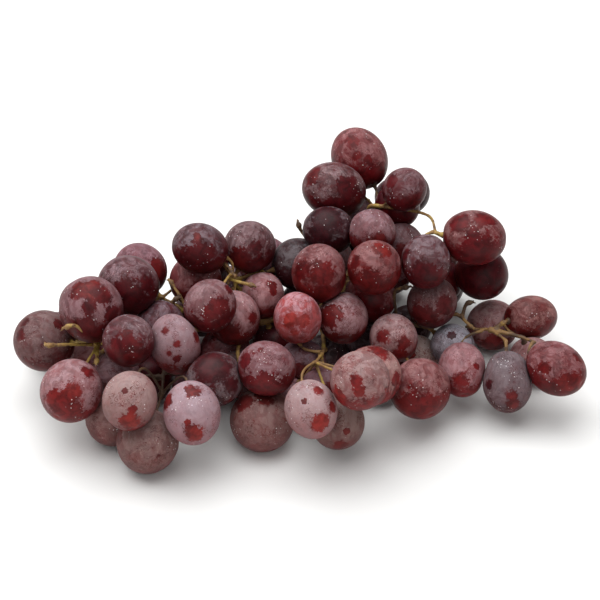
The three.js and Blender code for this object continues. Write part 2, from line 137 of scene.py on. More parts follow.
# How the bloom lies on a berry
LOW_EDGE = 1.6  # how sharply the bare, darker underside begins: partly rubbed bloom, partly painted shade
LOW_GLOW = (0.1, 0.5)  # the share of its look's glow that the underside has, from and to
WAIST_BLOOM = 0.75  # the share of its look's bloom that a berry keeps at its waist
BLOOM_RISE = 0.6  # how much that share rises towards the top; the thinner bloom low down is partly painted shade
LEAST_BLOOM = 0.3
PAINTED_TOP_SHEEN = np.array([0.12, 0.28, 0.30])  # painted sheen: how much lighter and cooler the bloom is drawn on the top, where it reflects the sky
SPOT_EDGE = 3  # how quickly a worn spot's glow sets in
BACK_SPOTS = 3  # worn spots drawn for the side that the photograph doesn't show
BACK_SIDE = 0.1  # how far away from the viewer a direction points on that side, at least
BACK_SIZES = (0.15, 0.5)
BACK_GLOW = 0.6
NO_SIZE = 0.02  # too small to see
SKIN_TONES = (0.85, 1.15)  # how much the skin and the wax differ from berry to berry
WAX_TONES = (0.94, 1.06)

# Colours of the grape skin and the stem, with alpha, and how rough the skin is
# EMBER is painted light: the red-orange glow of light shining through thin bare skin
EMBER = (0.27, 0.022, 0.014, 1)
THICK_WAX = (1.9, 1.9, 1.9, 1)
DARK_SPECK = (0.03, 0.008, 0.008, 1)
# The next colour is painted glints: tiny pale points where light glints off the bloom
PAINTED_GLINT = (0.85, 0.80, 0.80, 1)
BARE_ROUGHNESS, WAX_ROUGHNESS = 0.38, 0.65
FRESH_BARK = (0.40, 0.27, 0.055, 1)
TAN_BARK = (0.25, 0.135, 0.045, 1)
DRY_BARK = (0.065, 0.032, 0.016, 1)
CORK = (0.10, 0.055, 0.02, 1)
MOST_NOISE = (0.3, 0.7)  # most of a smooth noise lies between these
DOT_CORE = 0.6  # how much of a dot has its full colour
DOT_CHOICE_EDGE = 0.01

# The stage, in metres
FLOOR_HALF = 3
PAPER = (0.83, 0.83, 0.82, 1)
PAPER_ROUGHNESS = 0.85
WORLD_STRENGTH = 0.30
LAMP_TARGET = Vector((0, 0, 0.04))
LAMPS = {  # place, width, power
    "key": ((-0.25, 0.2, 1.3), 1.8, 33),
    "front": ((0.5, -1.4, 1.1), 1.8, 7),
}

MAIN_STEM = [
    (38, 88, 18), (34, 70, 26), (27, 50, 30), (20, 30, 28), (8, 17, 26),
    (-7, 12, 27), (-22, 10, 25), (-42, 5, 27), (-58, -5, 23), (-64, -7, 25),
]

# Each spray: how brown its stems are, from 0 to 1; its branches (x, y, z); the berries that the
# photograph shows (the measures below, then the look); and the berries behind and under them
# (x, y, z, radius). Near is how much nearer to the viewer a berry is than the bunch's middle, and
# lean turns its long axis, in degrees
MEASURES = ("across", "up", "near", "half_length", "half_width", "lean")
SPRAYS = {
    "left_tip": {
        "brown": 0.15,
        "arms": [[(-60, -6, 24), (-72, -8, 30), (-85, -14, 32)]],
        "shown": [
            (-106.5, -17, -5, 13, 12.8, 90, "dusk"), (-87, -4, 10, 14, 13.5, 0, "mauve"),
            (-71.5, -17, 20, 11, 11, 0, "dark"), (-95.3, -37.8, 20, 13.5, 13, 80, "pink"),
        ],
        "behind": [(-105, 17, 11, 11.5), (-90, 15, 30, 11.5), (-83, -3, 12, 11.5)],
    },
    "left_front": {
        # Painted shade: these stems are drawn the darkest brown partly because they lie in shade
        # between the berries
        "brown": 1.0,
        "arms": [[(-56, -4, 23), (-57, -19, 20), (-57, -30, 18)]],
        "shown": [
            (-52, -18.5, 10, 13, 10.5, 105, "blush"), (-78, -49.5, 10, 11.5, 11.5, 0, "brown"),
            (-71, -42, 35, 12.5, 11.5, 75, "blush"), (-63.5, -59, 25, 13.5, 13, 0, "brown"),
            (-45, -47, 35, 13.5, 12, 100, "pale"),
        ],
        "behind": [(-58, -13, 11, 11.5), (-76, -20, 22, 9.5)],
    },
    "left_back": {
        "brown": 0.3,
        "arms": [[(-42, 5, 27), (-51, 14, 30), (-60, 19, 32)]],
        "shown": [
            (-71.5, 6, -5, 13, 12.5, 0, "dark"), (-66.6, 12.5, -25, 11.6, 11, -10, "mauve"),
            (-43.5, 8, -20, 11, 11, 0, "red"), (-41.5, 21.5, -5, 12, 10.5, -20, "dark"),
            (-58.5, -10.5, -10, 10.5, 10.5, 0, "dark"),
        ],
        "behind": [
            (-85, 35, 11, 11.5), (-70, 20, 20, 11), (-50, 10, 11, 11.5), (-42, 44, 30, 11.5),
            (-40, 30, 15, 11),
        ],
    },
    "middle_back": {
        "brown": 0.3,
        "arms": [[(-14, 11, 25), (-25, 22, 32), (-30, 22, 42)]],
        "shown": [
            (-21, 22, -20, 11, 11, 0, "dark"), (-1, 15, -25, 11, 11, 0, "night"),
            (-15.5, 2, -15, 10, 9, 90, "pink"), (-37.5, -2.5, 10, 11.5, 11, 90, "mauve"),
            (-27.5, -7.5, -5, 11.5, 11, 0, "pink"),
        ],
        "behind": [
            (-5, 10, 11, 11), (-20, 30, 15, 11.5), (-15, 45, 30, 11.5), (-30, 50, 10, 11.5),
        ],
    },
    "middle_front": {
        "brown": 0.6,
        "arms": [[(-22, 10, 25), (-26, -12, 26), (-23, -24, 25)]],
        "shown": [
            (-35.5, -33, 15, 12, 11.5, 90, "slate"), (-14, -28.5, 20, 12.5, 11.5, -15, "mauve"),
            (-15.7, -50, 10, 13.5, 13.5, 100, "brown"),
        ],
        "behind": [(-40, -15, 11, 11), (-18, -12, 11, 11), (-31, 3, 11, 11)],
    },
    "centre_front": {
        "brown": 0.25,
        "arms": [[(8, 17, 26), (10, -2, 24), (9, -17, 30), (6, -27, 33)]],
        "shown": [
            (4.5, -45.5, 35, 12.5, 11, 108, "pale"), (15.4, -50.5, 20, 12, 11.5, 0, "brown"),
            (25, -33.5, 35, 12.5, 12.5, 0, "pink"), (30, -31.5, 10, 12.5, 12.5, 0, "pink"),
            (-1, -7.5, 5, 11, 10, 95, "bright"), (1, -26, -5, 10, 10, 0, "dusk"),
            (10.5, -36.5, 5, 10, 10, 0, "dusk"),
        ],
        "behind": [(8, 8, 11, 11), (26, 12, 11, 10.5), (-4, -20, 11, 10.5)],
    },
    "centre_top": {
        "brown": 0.5,
        "arms": [[(20, 30, 28), (19, 23, 36), (19, 19, 43)]],
        "shown": [
            (8, 11, 0, 12.5, 11.5, 95, "ruby"), (31, 13.5, 0, 11.5, 11.5, 0, "ruby"),
            (18, -7.5, -5, 11, 10.5, 100, "pink"), (29, 1, -20, 11, 11, 0, "red"),
            (12, 29, -20, 11, 10, -10, "night"), (30, 28, -15, 10, 10, 0, "mauve"),
        ],
        "behind": [(0, 33, 21, 11.5), (25, 35, 15, 11.5), (10, 45, 30, 11.5)],
    },
    "top": {
        "brown": 0.5,
        "arms": [[(30, 60, 28), (33, 58, 42), (33, 56, 51)]],
        "shown": [
            (24.8, 59, -45, 13.5, 11.5, 118, "red"), (14.3, 45.8, -30, 13.5, 11.6, -12, "dark"),
            (43.5, 46, -15, 9.5, 9, 110, "dark"), (44.8, 44.4, -45, 9.5, 9, 0, "night"),
            (40.5, 39, -30, 9.5, 9.5, 0, "deep"), (42.5, 23, -25, 9.5, 9, 0, "dusk"),
        ],
        "behind": [
            (20, 65, 40, 11.5), (15, 60, 15, 11.5), (40, 60, 15, 11.5), (25, 80, 20, 11.5),
            (41, 77, 43, 8.2),
        ],
    },
    "right_shoulder": {
        "brown": 0.35,
        "arms": [
            [(29, 55, 29), (30, 50, 50), (30, 46, 60), (38, 41, 63), (48, 37, 64), (55, 31, 65),
             (57, 22, 63)],
            [(27, 50, 30), (45, 46, 33), (60, 43, 39), (66, 38, 46)],
        ],
        "shown": [
            (72.5, 26, -5, 13.5, 11.5, -5, "red"), (75.6, 11.2, -25, 11.5, 11, 90, "deep"),
            (52.5, 16, 0, 11.5, 10.5, 90, "dark"), (55, -1, -15, 11, 10.5, 90, "dusk"),
            (59, 8, -35, 9, 9, 0, "deep"),
        ],
        "behind": [(60, 55, 10, 11.5), (75, 50, 30, 11.5)],
    },
    "right_front": {
        "brown": 0.5,
        "arms": [[(17, 27, 27), (34, 15, 20), (44, -3, 19)]],
        "shown": [
            # The pale look of the second berry is partly painted light: it lies in shade and is
            # drawn paler to make up for it
            (39, -16, -5, 10.5, 10, -20, "pink"), (48.5, -23.5, -25, 9.5, 9, 0, "pale"),
            (50, -37, 5, 12.8, 12.8, 0, "ruby"), (45.5, -11, -40, 9.5, 9, 0, "night"),
        ],
        "behind": [(35, -5, 11, 11)],
    },
    "right_tip": {
        "brown": 0.7,
        "arms": [
            [(34, 15, 20), (46, 13, 22), (57, 11, 22), (66, 12, 28), (74, 7, 24), (80, 4, 26),
             (87, -5, 27)],
            [(80, 4, 26), (91, 0, 26), (99, -6, 27)],
        ],
        "shown": [
            (67.5, -29, -10, 11.5, 10, 90, "pink"), (86.5, -34, -5, 13, 10.5, 90, "slate"),
            (106.6, -28.5, 0, 13, 11, -30, "ruby"), (96, -7.4, -30, 11.5, 9.3, 8, "ruby"),
            (80.3, -10.4, -40, 11, 10.5, 45, "pink"), (96.5, -25, -25, 10, 9.5, 0, "pink"),
            # The frost look below is partly painted light: the berry is drawn paler to make up for
            # the shade of the berry above it
            (63.5, -19, -20, 9.5, 9, 90, "frost"),
        ],
        "behind": [],
    },
}

# Bare stubs and twigs that show between the berries: how brown, then (across, up, nearer to the
# viewer) from the root to the end
STUBS = [
    [0.1, (-83.5, -19, 5), (-95, -18.5, 10), (-105.5, -19, 14)],
    [0.0, (-88.5, -15, 18), (-94, -10.5, 23), (-97.8, -11.5, 23)],
    [0.0, (-86, -23, 5), (-84.8, -26, 12)],
    [0.3, (-58, -5, -12), (-51, 1, -10)],
    [0.3, (-48, -2, -12), (-54, 8, -14)],
    [0.4, (-32.5, 16.5, -12), (-28, 11, -8)],
    [0.2, (-28.5, 8.5, -10), (-19.5, 6, -7)],
    [0.6, (1, 28, -20), (-0.8, 32, -18)],
    [0.6, (40, 4, -12), (45, 5.5, -10)],
    [0.9, (67, -6, -18), (69.5, -1.5, -18), (71.5, -1, -17)],
    [0.6, (80, -12, -16), (85.5, -9, -14)],
]

# A berry's looks: the skin's colour, the colour of the wax bloom over it, how much bloom it keeps,
# how high its bare, darker underside reaches (-1 is its lowest point and 1 its top; partly rubbed
# bloom, partly painted shade), how red its bare skin glows with painted light, and how uneven the
# bloom is
LOOKS = {
    "pale": ((0.125, 0.006, 0.006), (0.35, 0.235, 0.237), 0.96, -0.75, 0.45, 0.20),
    "pink": ((0.110, 0.005, 0.006), (0.34, 0.190, 0.190), 0.90, 0.00, 0.20, 0.55),
    "blush": ((0.115, 0.006, 0.007), (0.31, 0.190, 0.192), 0.94, -0.35, 0.20, 0.25),
    "bright": ((0.270, 0.032, 0.030), (0.46, 0.235, 0.240), 0.78, -0.45, 0.55, 1.00),
    "mauve": ((0.078, 0.004, 0.006), (0.240, 0.130, 0.146), 0.90, 0.22, 0.15, 0.60),
    "brown": ((0.085, 0.008, 0.008), (0.240, 0.135, 0.122), 0.92, -0.60, 0.10, 0.45),
    "dusk": ((0.070, 0.006, 0.007), (0.170, 0.098, 0.104), 0.85, -0.05, 0.10, 0.60),
    "slate": ((0.050, 0.005, 0.007), (0.180, 0.125, 0.138), 0.92, -0.30, 0.25, 0.40),
    # frost is a pale, cool bloom, drawn lighter partly as painted light for a berry that lies in
    # shade
    "frost": ((0.050, 0.007, 0.011), (0.320, 0.260, 0.290), 0.92, -0.50, 0.10, 0.40),
    "red": ((0.085, 0.003, 0.005), (0.245, 0.110, 0.112), 0.80, 0.28, 0.20, 0.80),
    "ruby": ((0.090, 0.003, 0.004), (0.280, 0.126, 0.126), 0.78, 0.28, 0.25, 0.80),
    "dark": ((0.060, 0.003, 0.005), (0.195, 0.120, 0.130), 0.80, 0.25, 0.10, 0.90),
    # deep is drawn nearly black partly as painted shade: it goes to berries that sit in shadow
    # under or behind others
    "deep": ((0.050, 0.002, 0.004), (0.060, 0.020, 0.026), 0.35, 0.60, 0.05, 0.50),
    "night": ((0.027, 0.003, 0.005), (0.125, 0.088, 0.094), 0.85, 0.25, 0.05, 1.00),
}
HIDDEN_LOOKS = ["dusk", "dark", "deep", "mauve", "red", "night"]

# Spots where the bloom is rubbed off, for the shown berries of each spray in their order; the large
# ones low on a berry also draw its darker lower side, which is partly painted shade. For each: how
# far right and up of the berry's middle it shows, how far it spreads, and how brightly it glows, in
# hundredths of the berry's radius and of full glow
WORN = {
    "left_tip": [
        [(-60, 62, 20, 0), (-72, 20, 20, 0), (55, 55, 20, 0)],
        [(-30, 55, 36, 20), (8, 60, 40, 35), (40, 50, 32, 10), (0, 12, 22, 0), (72, -15, 30, 0),
         (-10, -50, 35, 5)],
        [(12, -22, 58, 15), (-30, -20, 40, 10), (5, 25, 25, 10)],
        [(-15, -55, 62, 15), (12, 0, 32, 35), (-50, -20, 32, 20), (60, 62, 26, 0)],
    ],
    "left_front": [
        [(-28, 46, 15, 0), (14, 6, 16, 0), (-20, -32, 13, 0), (10, -57, 18, 0), (85, 30, 25, 10)],
        [(30, 20, 25, 10)],
        [(-10, 40, 12, 0), (17, -25, 17, 10), (3, -72, 42, 50)],
        [(40, -40, 10, 0), (-90, 20, 30, 0)],
        [(5, 78, 30, 10), (-85, 40, 32, 0), (7, -60, 30, 60), (-10, -28, 12, 20)],
    ],
    "left_back": [
        [(0, -50, 78, 0), (75, 0, 35, 0)],
        [(72, 5, 45, 20)],
        [(20, -30, 40, 10)],
        [(-10, -50, 78, 5), (-10, 45, 16, 30)],
        [(30, 10, 30, 5)],
    ],
    "middle_back": [
        [(28, -5, 30, 0), (-35, -45, 50, 15), (30, -70, 45, 5)],
        [(30, -50, 50, 0)],
        [(45, 45, 30, 0), (50, 15, 20, 0)],
        [(42, 5, 40, 10), (15, -25, 35, 10), (75, 60, 25, 0)],
        [(-15, -60, 50, 10), (75, 0, 25, 0)],
    ],
    "middle_front": [
        [(-10, 60, 90, 0), (60, -20, 40, 0), (0, -80, 40, 0)],
        [(10, -52, 45, 10), (-75, 35, 35, 0), (-20, 70, 12, 0)],
        [(10, 80, 35, 0), (-60, 60, 35, 0)],
    ],
    "centre_front": [
        [(33, -42, 34, 55), (30, 72, 20, 0), (-25, 35, 12, 0), (80, 10, 20, 20)],
        [(35, -30, 14, 20), (10, -85, 30, 10)],
        [(-15, 0, 24, 10), (-5, -35, 22, 30), (-75, -50, 35, 35)],
        [(20, 85, 40, 10), (80, -10, 25, 5)],
        [(-30, -5, 35, 50), (25, -10, 25, 20), (-10, -60, 20, 10)],
        [(0, -30, 30, 0)],
        [(20, 0, 30, 0)],
    ],
    "centre_top": [
        [(15, -5, 50, 10), (-65, 10, 40, 0), (10, -70, 45, 10)],
        [(25, 65, 34, 30), (-10, -45, 50, 5), (-75, 20, 25, 0)],
        [(-60, 10, 50, 10)],
        [(0, -10, 70, 0)],
        [(-10, 50, 70, 0), (-40, -20, 50, 0)],
        [(20, -60, 60, 20)],
    ],
    "top": [
        [(-25, 50, 30, 15), (-10, 5, 20, 10), (30, -15, 20, 10), (10, -75, 60, 5)],
        [(50, 5, 50, 0), (-70, 40, 32, 10), (-10, -70, 50, 0)],
        [(-60, 40, 36, 0), (50, -45, 34, 10)],
        [(50, 0, 50, 0)],
        [(0, 0, 80, 5)],
        [(0, -50, 50, 0)],
    ],
    "right_shoulder": [
        [(-55, 55, 40, 5), (35, 68, 40, 10), (10, -50, 75, 0), (-10, 10, 25, 0)],
        [(0, 0, 90, 0)],
        [(-20, -42, 55, 0), (-85, 30, 25, 0)],
        [(-40, -60, 60, 0), (50, -10, 40, 0)],
        [(0, 0, 60, 10)],
    ],
    "right_front": [
        [(40, -15, 34, 10), (-50, 10, 30, 5), (0, -75, 40, 0)],
        [(-30, 10, 20, 0)],
        [(0, -60, 75, 10), (-85, 30, 25, 5)],
        [(0, 0, 70, 0)],
    ],
    "right_tip": [
        [(55, 15, 16, 0), (-10, -42, 34, 10)],
        [(8, -45, 22, 25), (12, -68, 24, 25), (-80, -10, 25, 0)],
        [(-50, 5, 32, 25), (45, -45, 45, 20), (75, 40, 25, 10)],
        [(-90, 10, 30, 10), (10, -75, 45, 10), (75, -30, 30, 5)],
        [(0, -70, 40, 10)],
        [(30, 0, 30, 10)],
        [(-10, 50, 20, 0)],
    ],
}

# How a mesh keeps values of 1, 3 or 4 numbers for its corner points
KINDS = {1: ("FLOAT", "value"), 3: ("FLOAT_VECTOR", "vector"), 4: ("FLOAT_COLOR", "color")}


def curve_points(corners, count):
    """Evenly spaced points on a centripetal Catmull-Rom curve through the corners."""
    corners = np.asarray(corners, float)
    padded = np.vstack([2 * corners[0] - corners[1], corners, 2 * corners[-1] - corners[-2]])
    steps = np.linspace(0, len(corners) - 1, CURVE_SAMPLES)
    fine = on_curve(padded, steps)
    lengths = np.concatenate([[0], np.cumsum(np.linalg.norm(np.diff(fine, axis=0), axis=1))])
    wanted = np.linspace(0, lengths[-1], count + 1)
    return on_curve(padded, np.interp(wanted, lengths, steps))


def on_curve(padded, steps):
    """Points of that curve; step 1.5 is halfway between its second and third corners."""
    piece = np.minimum(steps.astype(int), len(padded) - 4)
    w = (steps - piece)[:, None]
    p0, p1, p2, p3 = (padded[piece + k] for k in range(4))
    d0, d1, d2 = (
        np.sqrt(np.linalg.norm(b - a, axis=1))[:, None] for a, b in ((p0, p1), (p1, p2), (p2, p3))
    )
    start = ((p1 - p0) / d0 - (p2 - p0) / (d0 + d1) + (p2 - p1) / d1) * d1
    end = ((p2 - p1) / d1 - (p3 - p1) / (d1 + d2) + (p3 - p2) / d2) * d1
    square = -3 * p1 + 3 * p2 - 2 * start - end
    cube = 2 * p1 - 2 * p2 + start + end
    return p1 + start * w + square * w**2 + cube * w**3


def seen_at(across, up, near):
    """The place that the photograph shows at (across, up) in the middle's plane, but nearer."""
    across, up, near = (np.asarray(value, float)[..., None] for value in (across, up, near))
    ray = AHEAD + (ACROSS * across + UPWARD * up) / VIEW_DISTANCE
    return EYE + ray * (VIEW_DISTANCE - near)


class Berry:
    """One berry: its spray, size and look, how the photograph shows it, and where it is."""

    def __init__(self, spray, size, look, shown=None, centre=None):
        self.spray = spray
        self.size = size
        self.look = look
        self.shown = shown
        self.centre = centre
        self.radius = size


def place_berries():
    """All berries, before they settle."""
    draw = np.random.default_rng(SEED)
    berries = []
    for spray, rows in SPRAYS.items():
        for *measures, look in rows["shown"]:
            shown = dict(zip(MEASURES, measures))
            size = (shown["half_length"] + 2 * shown["half_width"]) / 3
            berries.append(Berry(spray, size, look, shown=shown))
        for x, y, z, size in rows["behind"]:
            look = HIDDEN_LOOKS[draw.integers(len(HIDDEN_LOOKS))]
            berries.append(Berry(spray, size, look, centre=np.array([x, y, z], float)))
    return berries


def reaches(ones, others):
    """How close each of some berries may stand to each of some others."""
    sprays = np.array([b.spray for b in ones])[:, None] == np.array([b.spray for b in others])
    both_shown = np.outer([bool(b.shown) for b in ones], [bool(b.shown) for b in others])
    closeness = np.where(sprays, -PRESS, np.where(both_shown, -TOUCH, SPRAY_GAP))
    return closeness + np.add.outer([b.size for b in ones], [b.size for b in others])


def push_apart(points, obstacles, reach, share):
    """How far each point moves off the obstacles that it crowds."""
    away = points[:, None] - obstacles[None]
    distance = np.linalg.norm(away, axis=2)
    distance[distance == 0] = np.inf
    crowding = np.maximum(reach - distance, 0)
    return (away * (crowding / distance * share)[..., None]).sum(1)


def settle(berries):
    """Crowded berries slide apart until each has room, none below the table."""
    shown = sorted((b for b in berries if b.shown), key=lambda b: -b.shown["near"])
    hidden = [b for b in berries if not b.shown]
    across, up, near = np.array([[b.shown[k] for k in MEASURES[:3]] for b in shown], float).T
    size = np.array([b.size for b in shown])
    centres = np.array([b.centre for b in hidden])
    sizes = np.array([b.size for b in hidden])
    among_shown = reaches(shown, shown)
    among_hidden = reaches(hidden, hidden)
    apart = reaches(hidden, shown)
    aside = np.hypot(np.subtract.outer(across, across), np.subtract.outer(up, up))
    wanted = np.sqrt(np.maximum(among_shown**2 - aside**2, 0))
    wanted[~np.triu(aside < among_shown, 1)] = -np.inf
    lines = [MAIN_STEM] + [arm for rows in SPRAYS.values() for arm in rows["arms"]]
    stem = np.vstack([curve_points(line, len(line) * STEM_POINTS) for line in lines])
    for _ in range(SETTLE_ROUNDS):
        places = seen_at(across, up, near)
        radii = size * (VIEW_DISTANCE - near) / VIEW_DISTANCE
        crowding = np.maximum(wanted - np.subtract.outer(near, near), 0) * EASE / 2
        push = crowding.sum(1) - crowding.sum(0)
        grown = apart + (radii - size)
        shift = push_apart(centres, places, grown, EASE)
        shift += push_apart(centres, centres, among_hidden, EASE / 2)
        shift += push_apart(centres, stem, (sizes + ARM_RADIUS)[:, None], EASE / 2)
        sunk = np.maximum(radii - FLAT - places[:, 2], 0)
        near = near + push + sunk / math.sin(VIEW_TILT)
        centres = centres + shift
        centres[:, 2] = np.maximum(centres[:, 2], sizes - FLAT)
    places = seen_at(across, up, near)
    for i, berry in enumerate(shown):
        berry.centre = places[i]
        berry.shown["near"] = near[i]
        berry.radius = size[i] * (VIEW_DISTANCE - near[i]) / VIEW_DISTANCE
    for i, berry in enumerate(hidden):
        berry.centre = centres[i]


def rod_points(arm):
    """Points on the straight pieces of a branch's rod."""
    corners = curve_points(arm, len(arm))
    points = []
    for start, end in zip(corners, corners[1:]):
        count = math.ceil(np.linalg.norm(end - start) / BRANCH_STEP)
        points += [start + (end - start) * (k + 0.5) / count for k in range(count)]
    return points


def crossing(root, berry, berries):
    """How deep a straight stalk from root to berry would run through the other berries."""
    line = berry.centre - root
    line = line * (1 - berry.radius / np.linalg.norm(line))
    others = [b for b in berries if b is not berry]
    centres = np.array([b.centre for b in others])
    along = np.clip((centres - root) @ line / (line @ line), 0, 1)
    distance = np.linalg.norm(centres - root - along[:, None] * line, axis=1)
    radii = np.array([b.radius for b in others])
    return np.maximum(radii + STALK_RADIUS - distance, 0).sum()


def find_branch_point(berry, berries):
    """Where a berry's stalk leaves its spray's branches: near the berry, with a clear way to it."""

    def cost(point):
        """How long and how blocked a stalk from a point would be."""
        distance = np.linalg.norm(point - berry.centre)
        shortage = max(berry.radius + SHORTEST_STALK - distance, 0)
        return distance + CROSSING_COST * (crossing(point, berry, berries) + shortage)

    return min((p for arm in SPRAYS[berry.spray]["arms"] for p in rod_points(arm)), key=cost)


def unit(v):
    """The vector at length 1."""
    return v / np.linalg.norm(v)


def orient(berry, berries):
    """Turns a berry's stem end towards its branch and works out its true half sizes."""
    berry.branch = find_branch_point(berry, berries)
    towards = unit(berry.branch - berry.centre)
    if not berry.shown:
        berry.axis = towards
        berry.half_length = berry.radius * HIDDEN_LENGTH
        berry.half_width = berry.radius * HIDDEN_WIDTH
        return
    scale = (VIEW_DISTANCE - berry.shown["near"]) / VIEW_DISTANCE
    seen_length = berry.shown["half_length"] * scale
    seen_width = berry.shown["half_width"] * scale
    depth = min(max(towards @ AHEAD, -MOST_DEPTH_LEAN), MOST_DEPTH_LEAN)
    lean = math.radians(berry.shown["lean"])
    level = ACROSS * math.cos(lean) + UPWARD * math.sin(lean)
    if berry.shown["half_length"] - berry.shown["half_width"] < ROUND_WITHIN:
        level = unit(towards - AHEAD * (towards @ AHEAD))
    if level @ towards < 0:
        level = -level
    flatness = math.sqrt(1 - depth**2)
    berry.axis = level * flatness + AHEAD * depth
    berry.half_length = math.sqrt(seen_length**2 - (seen_width * depth) ** 2) / flatness
    berry.half_width = seen_width


def reach_along(berry, direction):
    """How far a berry reaches from its centre in a direction."""
    along = berry.axis @ direction
    aside = math.sqrt(max(1 - along**2, 0))
    return math.hypot(berry.half_length * along, berry.half_width * aside)


def soft_limit(value, limit, softness):
    """The value, held under the limit with a rounded edge."""
    return -softness * np.logaddexp(-value / softness, -limit / softness)


def ring_faces(sides, rings):
    """The faces of a closed form: one corner, then rings of corners, then a last corner."""
    faces = []
    last = 1 + sides * rings
    for k in range(sides):
        after = (k + 1) % sides
        faces.append((0, 1 + after, 1 + k))
        for low in range(1, last - sides, sides):
            faces.append((low + k, low + after, low + sides + after, low + sides + k))
        faces.append((last - sides + k, last - sides + after, last))
    return faces


def berry_grid():
    """Unit directions of a berry's rings."""
    share = np.linspace(0, 1, BERRY_RINGS + 1)[1:-1]
    bunched = share - RING_BUNCHING * np.sin(4 * math.pi * share)
    latitude = -math.pi / 2 + math.pi * bunched
    turn = np.arange(BERRY_SIDES) * 2 * math.pi / BERRY_SIDES
    ring = np.stack([np.cos(turn), np.sin(turn)], 1)
    points = [np.array([[0, 0, -1.0]])]
    for angle in latitude:
        height = np.full((BERRY_SIDES, 1), math.sin(angle))
        points.append(np.hstack([ring * math.cos(angle), height]))
    points.append(np.array([[0, 0, 1.0]]))
    return np.vstack(points)


def basis(axis):
    """Three unit vectors, the last along the axis."""
    helper = [0.0, 0.0, 1.0] if abs(axis[2]) < NEARLY_UPRIGHT else [1.0, 0.0, 0.0]
    side = unit(np.cross(helper, axis))
    return np.stack([side, np.cross(axis, side), axis])


def lumps(directions, draw):
    """A smooth uneven field over a berry, about -1 to 1."""
    field = np.zeros(len(directions))
    for pitch in LUMP_PITCHES:
        wave = directions @ draw.normal(size=(3, 3)) * pitch + draw.uniform(0, 2 * math.pi, 3)
        field += np.sin(wave).mean(1) / pitch
    return field


def berry_shape(berry, berries, grid, draw):
    """A berry's fine surface: dimple, blossom end, lumps, and flats where others press on it."""
    turn = basis(berry.axis)
    size = np.array([berry.half_width, berry.half_width, berry.half_length])
    local = grid * size * (1 + LUMP * lumps(grid, draw))[:, None]
    aside = np.hypot(local[:, 0], local[:, 1])
    stem_end = local[:, 2] > 0
    local[:, 2] -= np.where(stem_end, DIMPLE * np.exp(-((aside / DIMPLE_WIDTH) ** 2)), 0)
    local[:, 2] += np.where(stem_end, 0, BLOSSOM_DIMPLE * np.exp(-((aside / BLOSSOM_WIDTH) ** 2)))
    points = local @ turn + berry.centre
    for other in berries:
        if other is berry:
            continue
        towards = other.centre - berry.centre
        distance = np.linalg.norm(towards)
        towards = towards / distance
        own, theirs = reach_along(berry, towards), reach_along(other, towards)
        if own + theirs + NEARBY < distance:
            continue
        contact = (distance + own - theirs - CONTACT_GAP) / 2
        beyond = (points - berry.centre) @ towards
        held = soft_limit(beyond, contact, CONTACT_SOFTNESS)
        near_contact = beyond > contact - SOFT_REACH * CONTACT_SOFTNESS
        points[near_contact] += np.outer((held - beyond)[near_contact], towards)
    points[:, 2] = -soft_limit(-points[:, 2], -TABLE_GAP, TABLE_SOFTNESS)
    return points, local


def add_object(name, data):
    """A new object in the scene."""
    thing = bpy.data.objects.new(name, data)
    bpy.context.collection.objects.link(thing)
    return thing


def build_mesh(name, points, faces):
    """A smooth mesh object from points in millimetres."""
    mesh = bpy.data.meshes.new(name)
    mesh.from_pydata((np.asarray(points) * MM).tolist(), [], faces)
    mesh.update()
    mesh.shade_smooth()
    return add_object(name, mesh)


def store(mesh, name, values):
    """Keeps one value for each corner point of a mesh."""
    values = np.asarray(values, np.float32)
    kind, field = KINDS[values.size // len(mesh.vertices)]
    mesh.attributes.new(name, kind, "POINT").data.foreach_set(field, values.ravel())


def build_spray(name, berries, skin):
    """The berries of one spray as one piece, with the values that its skin material reads.

    They are the place in a berry's pattern, the skin's colour and glow, the wax's colour and
    amount, where the wax is gone (above 0), rubbed off in spots and partly painted shade on the
    underside, and how uneven it is.
    """
    grid = berry_grid()
    grid_faces = ring_faces(BERRY_SIDES, BERRY_RINGS - 1)
    points, faces = [], []
    kept = {"place": [], "skin": [], "wax": [], "rubbed_and_shaded": [], "patchy": []}
    for number, berry in enumerate(b for b in berries if b.spray == name):
        draw = np.random.default_rng([SEED, sorted(SPRAYS).index(name), number])
        shape, local = berry_shape(berry, berries, grid, draw)
        start = len(grid) * number
        faces += [tuple(start + i for i in face) for face in grid_faces]
        points.append(shape + CENTRING)
        kept["place"].append(local + draw.uniform(-PATTERN_RANGE, PATTERN_RANGE, 3))
        outward = shape - berry.centre
        outward /= np.linalg.norm(outward, axis=1)[:, None]
        spots = WORN[name][number] if berry.shown else []
        for value, rows in paint(outward, berry, spots, draw).items():
            kept[value].append(rows)
    piece = build_mesh(f"grapes_{name}", np.vstack(points), faces)
    for value, rows in kept.items():
        store(piece.data, value, np.concatenate(rows))
    piece.data.materials.append(skin)
    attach(piece, "root")
    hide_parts(f"berries_{name}")


